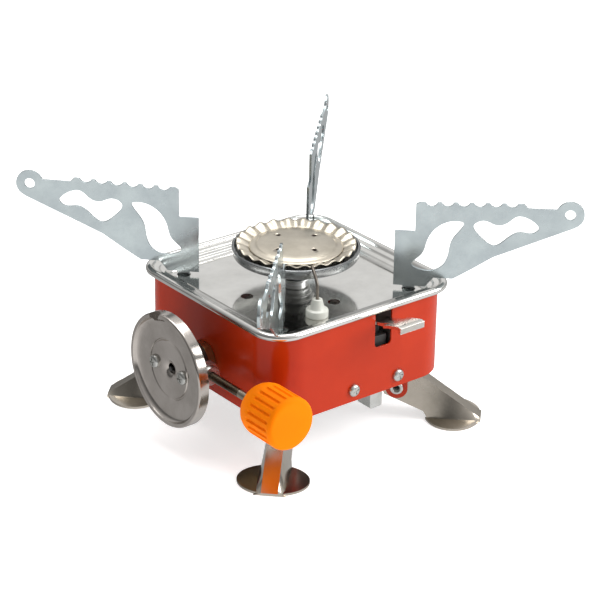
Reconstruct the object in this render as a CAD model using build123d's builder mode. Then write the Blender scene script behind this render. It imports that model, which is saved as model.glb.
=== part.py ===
from build123d import *
import os
from math import atan2, cos, degrees, pi, radians, sin, sqrt, tan

# Pocket camping stove on four folding legs, with four folding pot supports.
# Millimetres. +X right, +Y back, +Z up. The origin is on the ground under the
# burner's centre. The igniter is in the front wall, the gas inlet on the left.

# --- Driving dimensions ---------------------------------------------------
# Housing and tray
HOUSING_HALF = 42.0
HOUSING_CORNER = 13.5
HOUSING_SHEET = 0.8
HOUSING_BOTTOM = 20.1
HOUSING_TOP = 53.3
RIM_HALF = 44.0
RIM_CORNER = 12.0
RIM_BEAD = 1.5
RIM_LEVEL = 55.0
TRAY_FLOOR = 52.2
TRAY_SHEET = 0.8
RIM_BAND = 9.0
AIR_HOLE_RADIUS = 2.35
AIR_HOLE_REACH = 23.0

# Pot supports
ARM_PIVOT = 30.2
ARM_SHEET = 1.0
ARM_NECK = 4.6
ARM_HOLE_RADIUS = 2.6

# Legs
LEG_PIVOT_REACH = 40.0
LEG_PIVOT_LEVEL = 13.0
LEG_SHEET = 0.9
LEG_WEB_HALF = 3.1
LEG_FOOT_HALF = 5.9
LEG_TOP_REACH = 46.6
LEG_TOP_LEVEL = 19.2
LEG_TIP_REACH = 72.5
LEG_TIP_LEVEL = 1.0
FOOT_REACH = 61.5
FOOT_LENGTH_HALF = 11.0
FOOT_WIDTH_HALF = 13.4
RIVET_RADIUS = 1.9
FIT = 0.05

# Burner
CUP_RADIUS = 24.3
RING_RADIUS = 23.4
RING_INNER = 17.7
RING_LEVEL = 66.6
FLUTES = 24
NECK_RADIUS = 4.6

# Igniter
SLOT_CENTRE = 8.3
SLOT_WIDTH = 7.8
SLOT_SILL = 39.2
SPARK_X = -12.5
SPARK_Y = -28.6
LEVER_AXIS_Y = -20.0
LEVER_AXIS_Z = 48.4
SCREW_LEVEL = 24.9
SCREW_LEFT = -5.3
SCREW_RIGHT = 16.0

# Gas valve and inlet
VALVE_LEVEL = 32.4
STEM_X = -50.0
STEM_LEVEL = 33.0
DISC_FRONT = -60.8
DISC_BACK = -56.5
DISC_RADIUS = 22.0
KNOB_RADIUS = 10.0
KNOB_BACK = -42.2
KNOB_FRONT = -62.2

CORNERS = {
    "front_left": 225,
    "front_right": 315,
    "back_right": 45,
    "back_left": 135,
}

os.makedirs("parts", exist_ok=True)


def save(part, name):
    part.label = name
    export_step(part, f"parts/{name}.step")


def along_x(x, y=0.0, z=0.0):
    """Plane whose normal is +X, with its own x axis along +Y."""
    return Plane(origin=(x, y, z), x_dir=(0, 1, 0), z_dir=(1, 0, 0))


def along_front(y, x=0.0, z=0.0):
    """Plane whose normal is -Y, with its own x axis along +X."""
    return Plane(origin=(x, y, z), x_dir=(1, 0, 0), z_dir=(0, -1, 0))


def radial_plane(angle, reach=0.0, level=0.0, offset=0.0):
    """Upright plane through the stove's axis: x runs outwards, y runs up."""
    out = Vector(cos(radians(angle)), sin(radians(angle)), 0)
    side = Vector(sin(radians(angle)), -cos(radians(angle)), 0)
    origin = out * reach + Vector(0, 0, level) + side * offset
    return Plane(origin=origin, x_dir=out, z_dir=side)


# --- Housing: drawn steel box, open below, painted red ----------------------
with BuildPart() as housing:
    with BuildSketch(Plane.XY.offset(HOUSING_BOTTOM)):
        RectangleRounded(2 * HOUSING_HALF, 2 * HOUSING_HALF, HOUSING_CORNER)
        inner = 2 * (HOUSING_HALF - HOUSING_SHEET)
        RectangleRounded(inner, inner, HOUSING_CORNER - HOUSING_SHEET, mode=Mode.SUBTRACT)
    extrude(amount=HOUSING_TOP - HOUSING_BOTTOM)
    # Igniter slot, open at the top edge, with rounded lower corners
    with BuildSketch(along_front(-HOUSING_HALF + 2, SLOT_CENTRE, SLOT_SILL)):
        with Locations((0, 10)):
            RectangleRounded(SLOT_WIDTH, 20, 1.6)
    extrude(amount=4, mode=Mode.SUBTRACT)
    # Union hole in the left wall
    with BuildSketch(along_x(-HOUSING_HALF - 2, 0, VALVE_LEVEL)):
        Circle(6.2)
    extrude(amount=4, mode=Mode.SUBTRACT)
    # Bracket screw holes in the front wall
    for screw_x in (SCREW_LEFT, SCREW_RIGHT):
        with BuildSketch(along_front(-HOUSING_HALF + 2, screw_x, SCREW_LEVEL)):
            Circle(1.6)
        extrude(amount=4, mode=Mode.SUBTRACT)
save(housing.part, "housing")

# --- Top tray: pressed stainless sheet with a rolled rim --------------------
rim_path_half = RIM_HALF - RIM_BEAD
rim_bottom = RIM_LEVEL - RIM_BEAD
rim_top = RIM_LEVEL + RIM_BEAD
with BuildPart() as top_tray:
    with BuildSketch(Plane.XY.offset(rim_bottom)):
        RectangleRounded(2 * RIM_HALF, 2 * RIM_HALF, RIM_CORNER)
    extrude(amount=rim_top - rim_bottom)
    fillet(top_tray.edges().filter_by(Plane.XY), radius=RIM_BEAD - 0.06)
    floor_half = HOUSING_HALF - HOUSING_SHEET - 0.3
    with BuildSketch(Plane.XY.offset(TRAY_FLOOR - TRAY_SHEET)):
        RectangleRounded(2 * floor_half, 2 * floor_half, HOUSING_CORNER - HOUSING_SHEET - 0.3)
    extrude(amount=rim_bottom - TRAY_FLOOR + TRAY_SHEET + 0.2)
    # Steps from the bead down to the floor
    steps = ((3.0, 55.2), (5.2, 54.1), (7.2, 53.2), (RIM_BAND, TRAY_FLOOR))
    for inset, level in steps:
        half = RIM_HALF - inset
        corner = max(RIM_CORNER - inset, 2.4)
        with BuildSketch(Plane.XY.offset(level)):
            RectangleRounded(2 * half, 2 * half, corner)
        extrude(amount=10, mode=Mode.SUBTRACT)
    # Underside follows the steps at sheet thickness
    for inset, level in ((3.6, 53.2), (5.9, 52.3)):
        outer = RIM_HALF - inset
        inner_half = RIM_HALF - RIM_BAND + 1.2
        with BuildSketch(Plane.XY.offset(level - 2)):
            RectangleRounded(2 * outer, 2 * outer, RIM_CORNER - 2)
            RectangleRounded(2 * inner_half, 2 * inner_half, 4, mode=Mode.SUBTRACT)
        extrude(amount=2 - TRAY_SHEET, mode=Mode.SUBTRACT)
    # Pivot holes, air holes, burner hole, igniter hole
    with BuildSketch(Plane.XY.offset(40)):
        with PolarLocations(ARM_PIVOT * sqrt(2), 4, start_angle=45):
            Circle(ARM_HOLE_RADIUS)
        with PolarLocations(AIR_HOLE_REACH, 4):
            Circle(AIR_HOLE_RADIUS)
        Circle(NECK_RADIUS + 0.02)
        with Locations((SPARK_X, SPARK_Y)):
            Circle(2.62)
    extrude(amount=30, mode=Mode.SUBTRACT)
save(top_tray.part, "top_tray")

# --- Legs: pressed channels that end in a round foot, folding on a rivet -----
ear_half = 5.1
ear_sheet = 1.0


def channel_section(angle, reach, inset, drop, floor):
    """Upright cross-section of the leg's tapered channel."""
    slope = (LEG_TOP_LEVEL - LEG_TIP_LEVEL) / (LEG_TIP_REACH - LEG_TOP_REACH)
    out = Vector(cos(radians(angle)), sin(radians(angle)), 0)
    side = Vector(sin(radians(angle)), -cos(radians(angle)), 0)
    top = LEG_TIP_LEVEL + slope * (LEG_TIP_REACH - reach) - drop
    web = LEG_WEB_HALF - inset
    foot = LEG_FOOT_HALF - inset
    with BuildSketch(Plane(origin=out * reach, x_dir=side, z_dir=out * -1)) as section:
        with BuildLine():
            Polyline((-web, top), (web, top), (foot, floor), (-foot, floor), close=True)
        make_face()
    return section.sketch


for corner, angle in CORNERS.items():
    ends = (33.0, LEG_TIP_REACH + 0.01)
    outside = [channel_section(angle, reach, 0, 0, 0) for reach in ends]
    inside = [channel_section(angle, reach, LEG_SHEET, 1.1, -1.2) for reach in ends]
    with BuildPart() as hollow:
        loft(inside, ruled=True)
    with BuildPart() as leg:
        loft(outside, ruled=True)
        add(hollow.part, mode=Mode.SUBTRACT)
        # Side outline: round ears at the rivet, a step down to the foot
        with BuildSketch(radial_plane(angle, 0, 0, 9)):
            with BuildLine():
                Polyline(
                    (35.4, 9.6),
                    (50.4, 3.5),
                    (52.6, 0),
                    (LEG_TIP_REACH, 0),
                    (LEG_TIP_REACH, 6),
                    (LEG_TOP_REACH, 30),
                    (LEG_TOP_REACH, 18.6),
                    (41.6, 18.2),
                )
                ThreePointArc((41.6, 18.2), (34.9, 14.4), (35.4, 9.6))
            make_face()
        extrude(amount=-18, mode=Mode.INTERSECT)
        # Oval foot, open under the channel
        with BuildSketch(Plane.XY):
            with PolarLocations(FOOT_REACH, 1, start_angle=angle):
                Ellipse(FOOT_LENGTH_HALF, FOOT_WIDTH_HALF)
            with PolarLocations(FOOT_REACH, 1, start_angle=angle):
                Rectangle(40, 2 * (LEG_FOOT_HALF - LEG_SHEET), mode=Mode.SUBTRACT)
            with PolarLocations(40.8, 1, start_angle=angle):
                Rectangle(20, 30, mode=Mode.SUBTRACT)
        extrude(amount=LEG_SHEET)
        with BuildSketch(radial_plane(angle, LEG_PIVOT_REACH, LEG_PIVOT_LEVEL, 9)):
            Circle(RIVET_RADIUS + FIT)
        extrude(amount=-18, mode=Mode.SUBTRACT)
    save(leg.part, f"leg_{corner}")

    # Bracket: folded ears below the housing corner, painted like the housing
    with BuildPart() as bracket:
        with BuildSketch(radial_plane(angle, 0, 0, ear_half + ear_sheet)):
            with BuildLine():
                Polyline((35.9, 12.0), (36.6, 22.0), (44.0, 22.0), (44.2, 12.4))
                ThreePointArc((44.2, 12.4), (40.0, 8.7), (35.9, 12.0))
            make_face()
        extrude(amount=-2 * (ear_half + ear_sheet))
        with BuildSketch(radial_plane(angle, 0, 0, ear_half)):
            with Locations((LEG_PIVOT_REACH, 14)):
                Rectangle(20, 14.2)
        extrude(amount=-2 * ear_half, mode=Mode.SUBTRACT)
        with BuildSketch(Plane.XY.offset(21.1)):
            with PolarLocations(44.2, 1, start_angle=angle):
                Rectangle(17.0, 18.0)
        extrude(amount=ear_sheet)
        # Corners of the base follow the housing wall
        with BuildSketch(Plane.XY.offset(15)):
            width = 2 * (HOUSING_HALF - HOUSING_SHEET)
            RectangleRounded(width, width, HOUSING_CORNER - HOUSING_SHEET)
        extrude(amount=-10, both=True, mode=Mode.INTERSECT)
        with BuildSketch(radial_plane(angle, LEG_PIVOT_REACH, LEG_PIVOT_LEVEL, 9)):
            Circle(RIVET_RADIUS + 0.01)
        extrude(amount=-18, mode=Mode.SUBTRACT)
    save(bracket.part, f"leg_bracket_{corner}")

    # Hollow rivet through both ears
    grip = ear_half + ear_sheet
    with BuildPart() as rivet:
        with BuildSketch(radial_plane(angle, LEG_PIVOT_REACH, LEG_PIVOT_LEVEL, grip)):
            Circle(RIVET_RADIUS)
        extrude(amount=-2 * grip)
        for start, depth in ((grip, 0.7), (-grip, -0.7)):
            with BuildSketch(radial_plane(angle, LEG_PIVOT_REACH, LEG_PIVOT_LEVEL, start)):
                Circle(2.6)
            extrude(amount=depth)
        with BuildSketch(radial_plane(angle, LEG_PIVOT_REACH, LEG_PIVOT_LEVEL, 9)):
            Circle(RIVET_RADIUS - 0.7)
        extrude(amount=-18, mode=Mode.SUBTRACT)
    save(rivet.part, f"leg_rivet_{corner}")

# --- Pot supports: toothed zinc-plated plates that turn on a neck ------------
TEETH = 7
TOOTH_PITCH = 5.93
TOOTH_START = 4.4
TOOTH_RISE = 0.044
TOOTH_LEVEL = 87.5
EAR_REACH = 58.5
EAR_LEVEL = 85.8
EAR_RADIUS = 5.2
arm_reach = ARM_PIVOT * sqrt(2)
collar_top = TRAY_FLOOR - TRAY_SHEET - 0.7

for corner, angle in CORNERS.items():
    with BuildPart() as arm:
        with BuildSketch(radial_plane(angle, arm_reach, 0, ARM_SHEET / 2)):
            with BuildLine():
                Polyline(
                    (-5.8, 53.6),
                    (-5.8, 75.7),
                    (1.7, 75.7),
                    (1.7, 86.6),
                    (3.0, TOOTH_LEVEL),
                    (TOOTH_START + 6 * TOOTH_PITCH + 1.4, TOOTH_LEVEL + 6 * TOOTH_PITCH * TOOTH_RISE),
                    (43.0, 87.4),
                    (53.4, 87.6),
                    (EAR_REACH, EAR_LEVEL + EAR_RADIUS),
                    (60.6, 80.9),
                    (50.0, 76.0),
                    (31.0, 67.2),
                    (22.6, 61.4),
                    (16.4, 57.4),
                    (9.2, 57.4),
                    (6.2, 53.6),
                    close=True,
                )
            make_face()
            with Locations((EAR_REACH, EAR_LEVEL)):
                Circle(EAR_RADIUS)
            # Neck down through the tray
            with Locations((0, 50.5)):
                Rectangle(ARM_NECK, 7.0)
            # Round valleys between the teeth
            for gap in range(TEETH - 1):
                reach = TOOTH_START + (gap + 0.5) * TOOTH_PITCH
                with Locations((reach, TOOTH_LEVEL + reach * TOOTH_RISE + 0.75)):
                    Circle(2.45, mode=Mode.SUBTRACT)
            with Locations((EAR_REACH, EAR_LEVEL)):
                Circle(2.0, mode=Mode.SUBTRACT)
            # Two cut-outs
            with BuildLine():
                Spline(
                    (47.2, 80.2), (43.6, 83.3), (38.9, 83.9), (36.0, 81.5), (31.8, 80.1), (27.0, 81.6),
                    (23.4, 79.6), (26.2, 74.8), (31.4, 71.9), (35.0, 74.4), (40.6, 77.8), (45.8, 78.0),
                    periodic=True,
                )
            make_face(mode=Mode.SUBTRACT)
            with BuildLine():
                Spline(
                    (18.9, 80.6), (13.4, 80.1), (8.6, 76.6), (6.2, 72.0), (4.2, 66.4), (0.9, 62.6),
                    (6.6, 60.2), (12.6, 63.0), (14.3, 67.6), (16.2, 74.4),
                    periodic=True,
                )
            make_face(mode=Mode.SUBTRACT)
        extrude(amount=-ARM_SHEET)
    save(arm.part, f"pot_support_{corner}")

    # Collar riveted to the neck, below the tray
    with BuildPart() as collar:
        with BuildSketch(Plane.XY.offset(collar_top)):
            with PolarLocations(arm_reach, 1, start_angle=angle):
                Circle(4.2)
                Rectangle(ARM_NECK + 0.02, ARM_SHEET + 0.02, mode=Mode.SUBTRACT)
        extrude(amount=-3.2)
    save(collar.part, f"support_collar_{corner}")

    # Spring washer between the collar and the tray
    with BuildPart() as washer:
        with BuildSketch(Plane.XY.offset(collar_top + 0.06)):
            with PolarLocations(arm_reach, 1, start_angle=angle):
                Circle(4.0)
                Circle(ARM_HOLE_RADIUS + 0.2, mode=Mode.SUBTRACT)
        extrude(amount=0.6)
    save(washer.part, f"support_washer_{corner}")

# --- Burner ------------------------------------------------------------------
# Ribbed neck between the mixer and the cup
with BuildPart() as burner_neck:
    with BuildSketch(Plane.XZ):
        with BuildLine():
            Polyline((0, 45.5), (NECK_RADIUS, 45.5), (NECK_RADIUS, 58.8), (0, 58.8), close=True)
        make_face()
        for level, radius in ((54.2, 5.4), (56.2, 6.1), (58.2, 7.0)):
            with Locations((radius / 2, level)):
                Rectangle(radius, 1.2)
        with Locations((1.55, 52)):
            Rectangle(3.1, 14, mode=Mode.SUBTRACT)
    revolve(axis=Axis.Z)
save(burner_neck.part, "burner_neck")

# Zinc cup with a hemmed side band
with BuildPart() as burner_cup:
    with BuildSketch(Plane.XZ):
        with BuildLine():
            Polyline(
                (3.1, 58.8),
                (8.6, 58.8),
                (10.0, 61.0),
                (15.0, 62.2),
                (CUP_RADIUS - 0.5, 63.6),
                (CUP_RADIUS - 0.2, 66.2),
                (CUP_RADIUS, 66.6),
                (CUP_RADIUS - 0.3, 67.2),
                (CUP_RADIUS - 1.2, 67.2),
                (CUP_RADIUS - 1.5, 66.4),
                (CUP_RADIUS - 1.5, 64.4),
                (14.8, 63.2),
                (9.2, 62.0),
                (8.0, 59.8),
                (3.1, 59.8),
                close=True,
            )
        make_face()
    revolve(axis=Axis.Z)
save(burner_cup.part, "burner_cup")

# Pleated flame ring, a shallow dish with grooves on both sides
with BuildPart() as flame_ring:
    with BuildSketch(Plane.XZ):
        with BuildLine():
            Polyline(
                (RING_INNER - 1.6, 64.6),
                (RING_INNER + 0.4, 64.4),
                (RING_RADIUS - 1.0, 65.2),
                (RING_RADIUS - 0.7, 68.6),
                (RING_RADIUS - 2.2, 68.4),
                (RING_INNER, 66.4),
                (RING_INNER - 1.6, 66.2),
                close=True,
            )
        make_face()
    revolve(axis=Axis.Z)
    for k in range(FLUTES):
        angle = 360 * k / FLUTES
        for shift, level in ((0, 69.3), (180 / FLUTES, 66.0)):
            turn = radians(angle + shift)
            out = Vector(cos(turn), sin(turn), 0)
            side = Vector(-sin(turn), cos(turn), 0)
            start = out * (RING_INNER + 1.2) + Vector(0, 0, level - (0.9 if shift == 0 else -0.2))
            with BuildSketch(Plane(origin=start, x_dir=side, z_dir=out + Vector(0, 0, 0.22))):
                Circle(1.35)
            extrude(amount=9, mode=Mode.SUBTRACT)
save(flame_ring.part, "flame_ring")

# Domed cap disc with four flame holes
with BuildPart() as burner_cap:
    with BuildSketch(Plane.XZ):
        with BuildLine():
            Line((0, 66.4), (RING_INNER, 66.4))
            Line((RING_INNER, 66.4), (RING_INNER, 67.4))
            ThreePointArc((RING_INNER, 67.4), (9.0, 68.3), (0, 68.6))
            Line((0, 68.6), (0, 66.4))
        make_face()
    revolve(axis=Axis.Z)
    with BuildSketch(Plane.XY.offset(60)):
        with PolarLocations(9.6, 4, start_angle=7):
            Circle(0.9)
    extrude(amount=20, mode=Mode.SUBTRACT)
save(burner_cap.part, "burner_cap")

# Cast mixer below the tray, with air windows round the jet
MIXER_END = -16.0
with BuildPart() as mixer:
    with BuildSketch(Plane.XY.offset(25.0)):
        Circle(7.4)
    extrude(amount=22.0)
    with BuildSketch(along_x(MIXER_END, 0, VALVE_LEVEL)):
        Circle(6.0)
    extrude(amount=-MIXER_END)
    with BuildSketch(Plane.XY.offset(28.5)):
        Circle(4.0)
    extrude(amount=17.0, mode=Mode.SUBTRACT)
    with BuildSketch(Plane.XY.offset(45.4)):
        Circle(NECK_RADIUS)
    extrude(amount=3, mode=Mode.SUBTRACT)
    with BuildSketch(along_x(MIXER_END - 1, 0, VALVE_LEVEL)):
        Circle(4.2)
    extrude(amount=-MIXER_END + 1, mode=Mode.SUBTRACT)
    with BuildSketch(Plane.XY.offset(VALVE_LEVEL - 2.4)):
        with Locations((MIXER_END + 4.5, 0)):
            RectangleRounded(4.4, 20, 1)
    extrude(amount=4.8, mode=Mode.SUBTRACT)
save(mixer.part, "burner_mixer")

# Jet, screwed on the end of the gas tube
with BuildPart() as jet:
    with BuildSketch(along_x(-22.0, 0, VALVE_LEVEL)):
        RegularPolygon(4.0, 6)
    extrude(amount=5.0)
    with BuildSketch(along_x(-17.0, 0, VALVE_LEVEL)):
        Circle(2.2)
    extrude(amount=5.0)
    with BuildSketch(along_x(-24.0, 0, VALVE_LEVEL)):
        Circle(0.4)
    extrude(amount=20, mode=Mode.SUBTRACT)
save(jet.part, "gas_jet")

with BuildPart() as gas_tube:
    with BuildSketch(along_x(-36.4, 0, VALVE_LEVEL)):
        Circle(3.0)
        Circle(1.4, mode=Mode.SUBTRACT)
    extrude(amount=14.4)
save(gas_tube.part, "gas_tube")

# Spider that hangs the mixer from the tray
with BuildPart() as mixer_bracket:
    with BuildSketch(Plane.XY.offset(47.0)):
        RectangleRounded(40, 14, 3)
        Circle(11)
        Circle(NECK_RADIUS + 0.3, mode=Mode.SUBTRACT)
    extrude(amount=1.2)
    for side in (-1, 1):
        with BuildSketch(Plane.XY.offset(48.2)):
            with Locations((side * 16.5, 0)):
                Circle(2.6)
        extrude(amount=TRAY_FLOOR - TRAY_SHEET - 48.2)
save(mixer_bracket.part, "mixer_bracket")

# --- Igniter -----------------------------------------------------------------
with BuildPart() as spark_insulator:
    with BuildSketch(Plane.XZ.offset(-SPARK_Y)):
        with BuildLine():
            Polyline(
                (SPARK_X, 47.5),
                (SPARK_X + 2.6, 47.5),
                (SPARK_X + 2.6, TRAY_FLOOR),
                (SPARK_X + 4.2, TRAY_FLOOR),
                (SPARK_X + 4.2, 54.7),
                (SPARK_X + 3.8, 55.1),
                (SPARK_X + 2.7, 55.4),
                (SPARK_X + 1.95, 58.7),
                (SPARK_X + 1.7, 59.0),
                (SPARK_X, 59.0),
                close=True,
            )
        make_face()
    revolve(axis=Axis((SPARK_X, SPARK_Y, 0), (0, 0, 1)))
    with BuildSketch(Plane.XY.offset(57)):
        with Locations((SPARK_X, SPARK_Y)):
            Circle(0.62)
    extrude(amount=10, mode=Mode.SUBTRACT)
save(spark_insulator.part, "spark_insulator")

# Electrode wire: up from the insulator, then over to the flame ring
WIRE_RADIUS = 0.6
wire_end_x = SPARK_X + 2.3
wire_end_y = SPARK_Y + 6.2
with BuildPart() as electrode:
    with BuildLine():
        FilletPolyline(
            (SPARK_X, SPARK_Y, 57.2),
            (SPARK_X, SPARK_Y, 64.8),
            (wire_end_x, wire_end_y, 69.1),
            radius=1.6,
        )
    with BuildSketch(Plane.XY.offset(57.2)):
        with Locations((SPARK_X, SPARK_Y)):
            Circle(WIRE_RADIUS)
    sweep()
save(electrode.part, "spark_electrode")

# Ignition lead between the piezo unit and the insulator
LEAD_RADIUS = 1.1
LEAD_LEVEL = 27.0
LEAD_Y = -34.0
PIEZO_LEFT = SLOT_CENTRE - 3.6
with BuildPart() as ignition_lead:
    with BuildLine():
        FilletPolyline(
            (PIEZO_LEFT, LEAD_Y, LEAD_LEVEL),
            (SPARK_X, LEAD_Y, LEAD_LEVEL),
            (SPARK_X, SPARK_Y, 34.0),
            (SPARK_X, SPARK_Y, 47.5),
            radius=3,
        )
    with BuildSketch(Plane(origin=(PIEZO_LEFT, LEAD_Y, LEAD_LEVEL), z_dir=(-1, 0, 0))):
        Circle(LEAD_RADIUS)
    sweep()
save(ignition_lead.part, "ignition_lead")

# Piezo unit: black housing with a grey strap that hangs below the wall
PIEZO_BACK = -30.2
PIEZO_FRONT = -40.0
PIEZO_TOP = 42.6
with BuildPart() as piezo_housing:
    with BuildSketch(Plane.XY.offset(19.0)):
        with Locations((SLOT_CENTRE, (PIEZO_BACK + PIEZO_FRONT) / 2)):
            RectangleRounded(7.2, PIEZO_BACK - PIEZO_FRONT, 0.8)
    extrude(amount=PIEZO_TOP - 19.0)
    with BuildSketch(Plane.XY.offset(PIEZO_TOP)):
        with Locations((SLOT_CENTRE, -35.4)):
            Rectangle(4.04, 4.04)
    extrude(amount=-9, mode=Mode.SUBTRACT)
save(piezo_housing.part, "piezo_housing")

with BuildPart() as piezo_plunger:
    with BuildSketch(Plane.XY.offset(38.6)):
        with Locations((SLOT_CENTRE, -35.4)):
            Rectangle(3.9, 3.9)
    extrude(amount=6.6)
    with BuildSketch(Plane.XY.offset(45.2)):
        with Locations((SLOT_CENTRE, -35.4)):
            Rectangle(3.4, 2.4)
    extrude(amount=1.8)
save(piezo_plunger.part, "piezo_plunger")

with BuildPart() as piezo_strap:
    with BuildSketch(along_front(-39.0, 8.45, 17.0)):
        RectangleRounded(5.8, 9.6, 1.0)
    extrude(amount=-7.5)
    with BuildSketch(Plane.XY.offset(19.0)):
        Rectangle(60, 90)
    extrude(amount=5, mode=Mode.SUBTRACT)
save(piezo_strap.part, "piezo_strap")

# Bracket plate behind the front wall; it holds the piezo and the lever's pin
wall_inside = -HOUSING_HALF + HOUSING_SHEET
with BuildPart() as igniter_bracket:
    with BuildSketch(along_front(wall_inside + 1.0, 5.35, 27.6)):
        RectangleRounded(30.0, 12.4, 2)
    extrude(amount=1.0)
    for cheek in (-1, 1):
        cheek_x = SLOT_CENTRE + cheek * 4.5
        with BuildSketch(along_x(cheek_x - 0.5)):
            with BuildLine():
                Polyline(
                    (wall_inside, 22.0),
                    (wall_inside, 44.0),
                    (-24.5, LEVER_AXIS_Z + 1.8),
                    (-16.6, LEVER_AXIS_Z + 1.8),
                    (-16.6, 44.0),
                    (-30.0, 30.0),
                    (-30.0, 22.0),
                    close=True,
                )
            make_face()
            with Locations((LEAD_Y, LEAD_LEVEL)):
                Circle(2.4, mode=Mode.SUBTRACT)
            with Locations((LEVER_AXIS_Y, LEVER_AXIS_Z)):
                Circle(1.0, mode=Mode.SUBTRACT)
        extrude(amount=1.0)
    for screw_x in (SCREW_LEFT, SCREW_RIGHT):
        with BuildSketch(along_front(wall_inside + 2, screw_x, SCREW_LEVEL)):
            Circle(1.25)
        extrude(amount=4, mode=Mode.SUBTRACT)
save(igniter_bracket.part, "igniter_bracket")

with BuildPart() as lever_pin:
    with BuildSketch(along_x(SLOT_CENTRE - 5.8, LEVER_AXIS_Y, LEVER_AXIS_Z)):
        Circle(1.0)
    extrude(amount=11.6)
save(lever_pin.part, "lever_pin")

# Nickel-plated lever: a strip through the slot with a wider lip outside
LEVER_TIP_Y = -58.0
LEVER_SHEET = 1.2
with BuildPart() as igniter_lever:
    with BuildSketch(along_x(SLOT_CENTRE - 3.45)):
        with BuildLine():
            Polyline(
                (LEVER_AXIS_Y + 2.2, LEVER_AXIS_Z - 1.6),
                (LEVER_AXIS_Y + 2.2, LEVER_AXIS_Z + 1.6),
                (LEVER_AXIS_Y - 1.5, LEVER_AXIS_Z + 2.2),
                (-30.0, 47.75),
                (-44.6, 50.4),
                (LEVER_TIP_Y + 1.4, 55.0),
                (LEVER_TIP_Y, 55.0),
                (LEVER_TIP_Y, 52.6),
                (LEVER_TIP_Y + 1.1, 52.6),
                (LEVER_TIP_Y + 1.6, 53.7),
                (-44.6, 49.1),
                (-31.0, 46.55),
                (LEVER_AXIS_Y - 3.5, 46.55),
                close=True,
            )
        make_face()
    extrude(amount=6.9)
    # The lip is wider than the strip
    with BuildSketch(along_x(SLOT_CENTRE - 5.7)):
        with BuildLine():
            Polyline(
                (-48.2, 51.62),
                (LEVER_TIP_Y + 1.4, 55.0),
                (LEVER_TIP_Y, 55.0),
                (LEVER_TIP_Y, 52.6),
                (LEVER_TIP_Y + 1.1, 52.6),
                (LEVER_TIP_Y + 1.6, 53.7),
                (-48.2, 50.33),
                close=True,
            )
        make_face()
    extrude(amount=11.4)
    with BuildSketch(along_x(SLOT_CENTRE - 9, LEVER_AXIS_Y, LEVER_AXIS_Z)):
        Circle(1.0 + FIT)
    extrude(amount=18, mode=Mode.SUBTRACT)
save(igniter_lever.part, "igniter_lever")

# Two pan-head screws through the front wall
with BuildPart() as bracket_screws:
    for screw_x in (SCREW_LEFT, SCREW_RIGHT):
        with BuildSketch(along_front(-HOUSING_HALF, screw_x, SCREW_LEVEL)):
            Circle(2.4)
        extrude(amount=1.5)
        with BuildSketch(along_front(-HOUSING_HALF, screw_x, SCREW_LEVEL)):
            Circle(1.25)
        extrude(amount=-3.6)
    heads = bracket_screws.edges().filter_by(GeomType.CIRCLE).group_by(Axis.Y)[0]
    fillet(heads, radius=0.9)
    # Cross recesses
    for screw_x in (SCREW_LEFT, SCREW_RIGHT):
        with BuildSketch(along_front(-HOUSING_HALF - 0.7, screw_x, SCREW_LEVEL)):
            Rectangle(2.4, 0.55)
            Rectangle(0.55, 2.4)
        extrude(amount=1, mode=Mode.SUBTRACT)
save(bracket_screws.part, "bracket_screws")

# --- Gas valve ---------------------------------------------------------------
# Union in the left wall: hexagon outside, thread and locknut inside
union_bore = 3.0 + FIT
with BuildPart() as gas_union:
    with BuildSketch(along_x(-45.4, 0, VALVE_LEVEL)):
        RegularPolygon(7.2, 6)
    extrude(amount=45.4 - HOUSING_HALF)
    with BuildSketch(along_x(-HOUSING_HALF, 0, VALVE_LEVEL)):
        Circle(5.9)
    extrude(amount=5.4)
    with BuildSketch(along_x(-50, 0, VALVE_LEVEL)):
        Circle(union_bore)
    extrude(amount=20, mode=Mode.SUBTRACT)
save(gas_union.part, "gas_union")

with BuildPart() as union_locknut:
    with BuildSketch(along_x(wall_inside, 0, VALVE_LEVEL)):
        RegularPolygon(8.0, 6)
        Circle(5.92, mode=Mode.SUBTRACT)
    extrude(amount=3.2)
save(union_locknut.part, "union_locknut")

VALVE_WALL = -45.7
with BuildPart() as valve_body:
    with BuildSketch(along_x(-57.0, 0, VALVE_LEVEL)):
        Circle(7.4)
    extrude(amount=57.0 + VALVE_WALL)
    with BuildSketch(along_x(VALVE_WALL, 0, VALVE_LEVEL)):
        Circle(3.0)
    extrude(amount=9.0)
    with BuildSketch(along_front(7.8, STEM_X, STEM_LEVEL)):
        Circle(4.2)
    extrude(amount=7.8 + 10.4)
    with BuildSketch(along_front(-4.0, STEM_X, STEM_LEVEL)):
        Circle(1.6 + FIT)
    extrude(amount=10, mode=Mode.SUBTRACT)
save(valve_body.part, "valve_body")

with BuildPart() as gland_nut:
    with BuildSketch(along_front(-10.4, STEM_X, STEM_LEVEL)):
        RegularPolygon(4.9, 6)
    extrude(amount=3.2)
    with BuildSketch(along_front(-13.6, STEM_X, STEM_LEVEL)):
        Circle(3.6)
    extrude(amount=1.4)
    with BuildSketch(along_front(-9, STEM_X, STEM_LEVEL)):
        Circle(1.6 + FIT)
    extrude(amount=8, mode=Mode.SUBTRACT)
save(gland_nut.part, "gland_nut")

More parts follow.
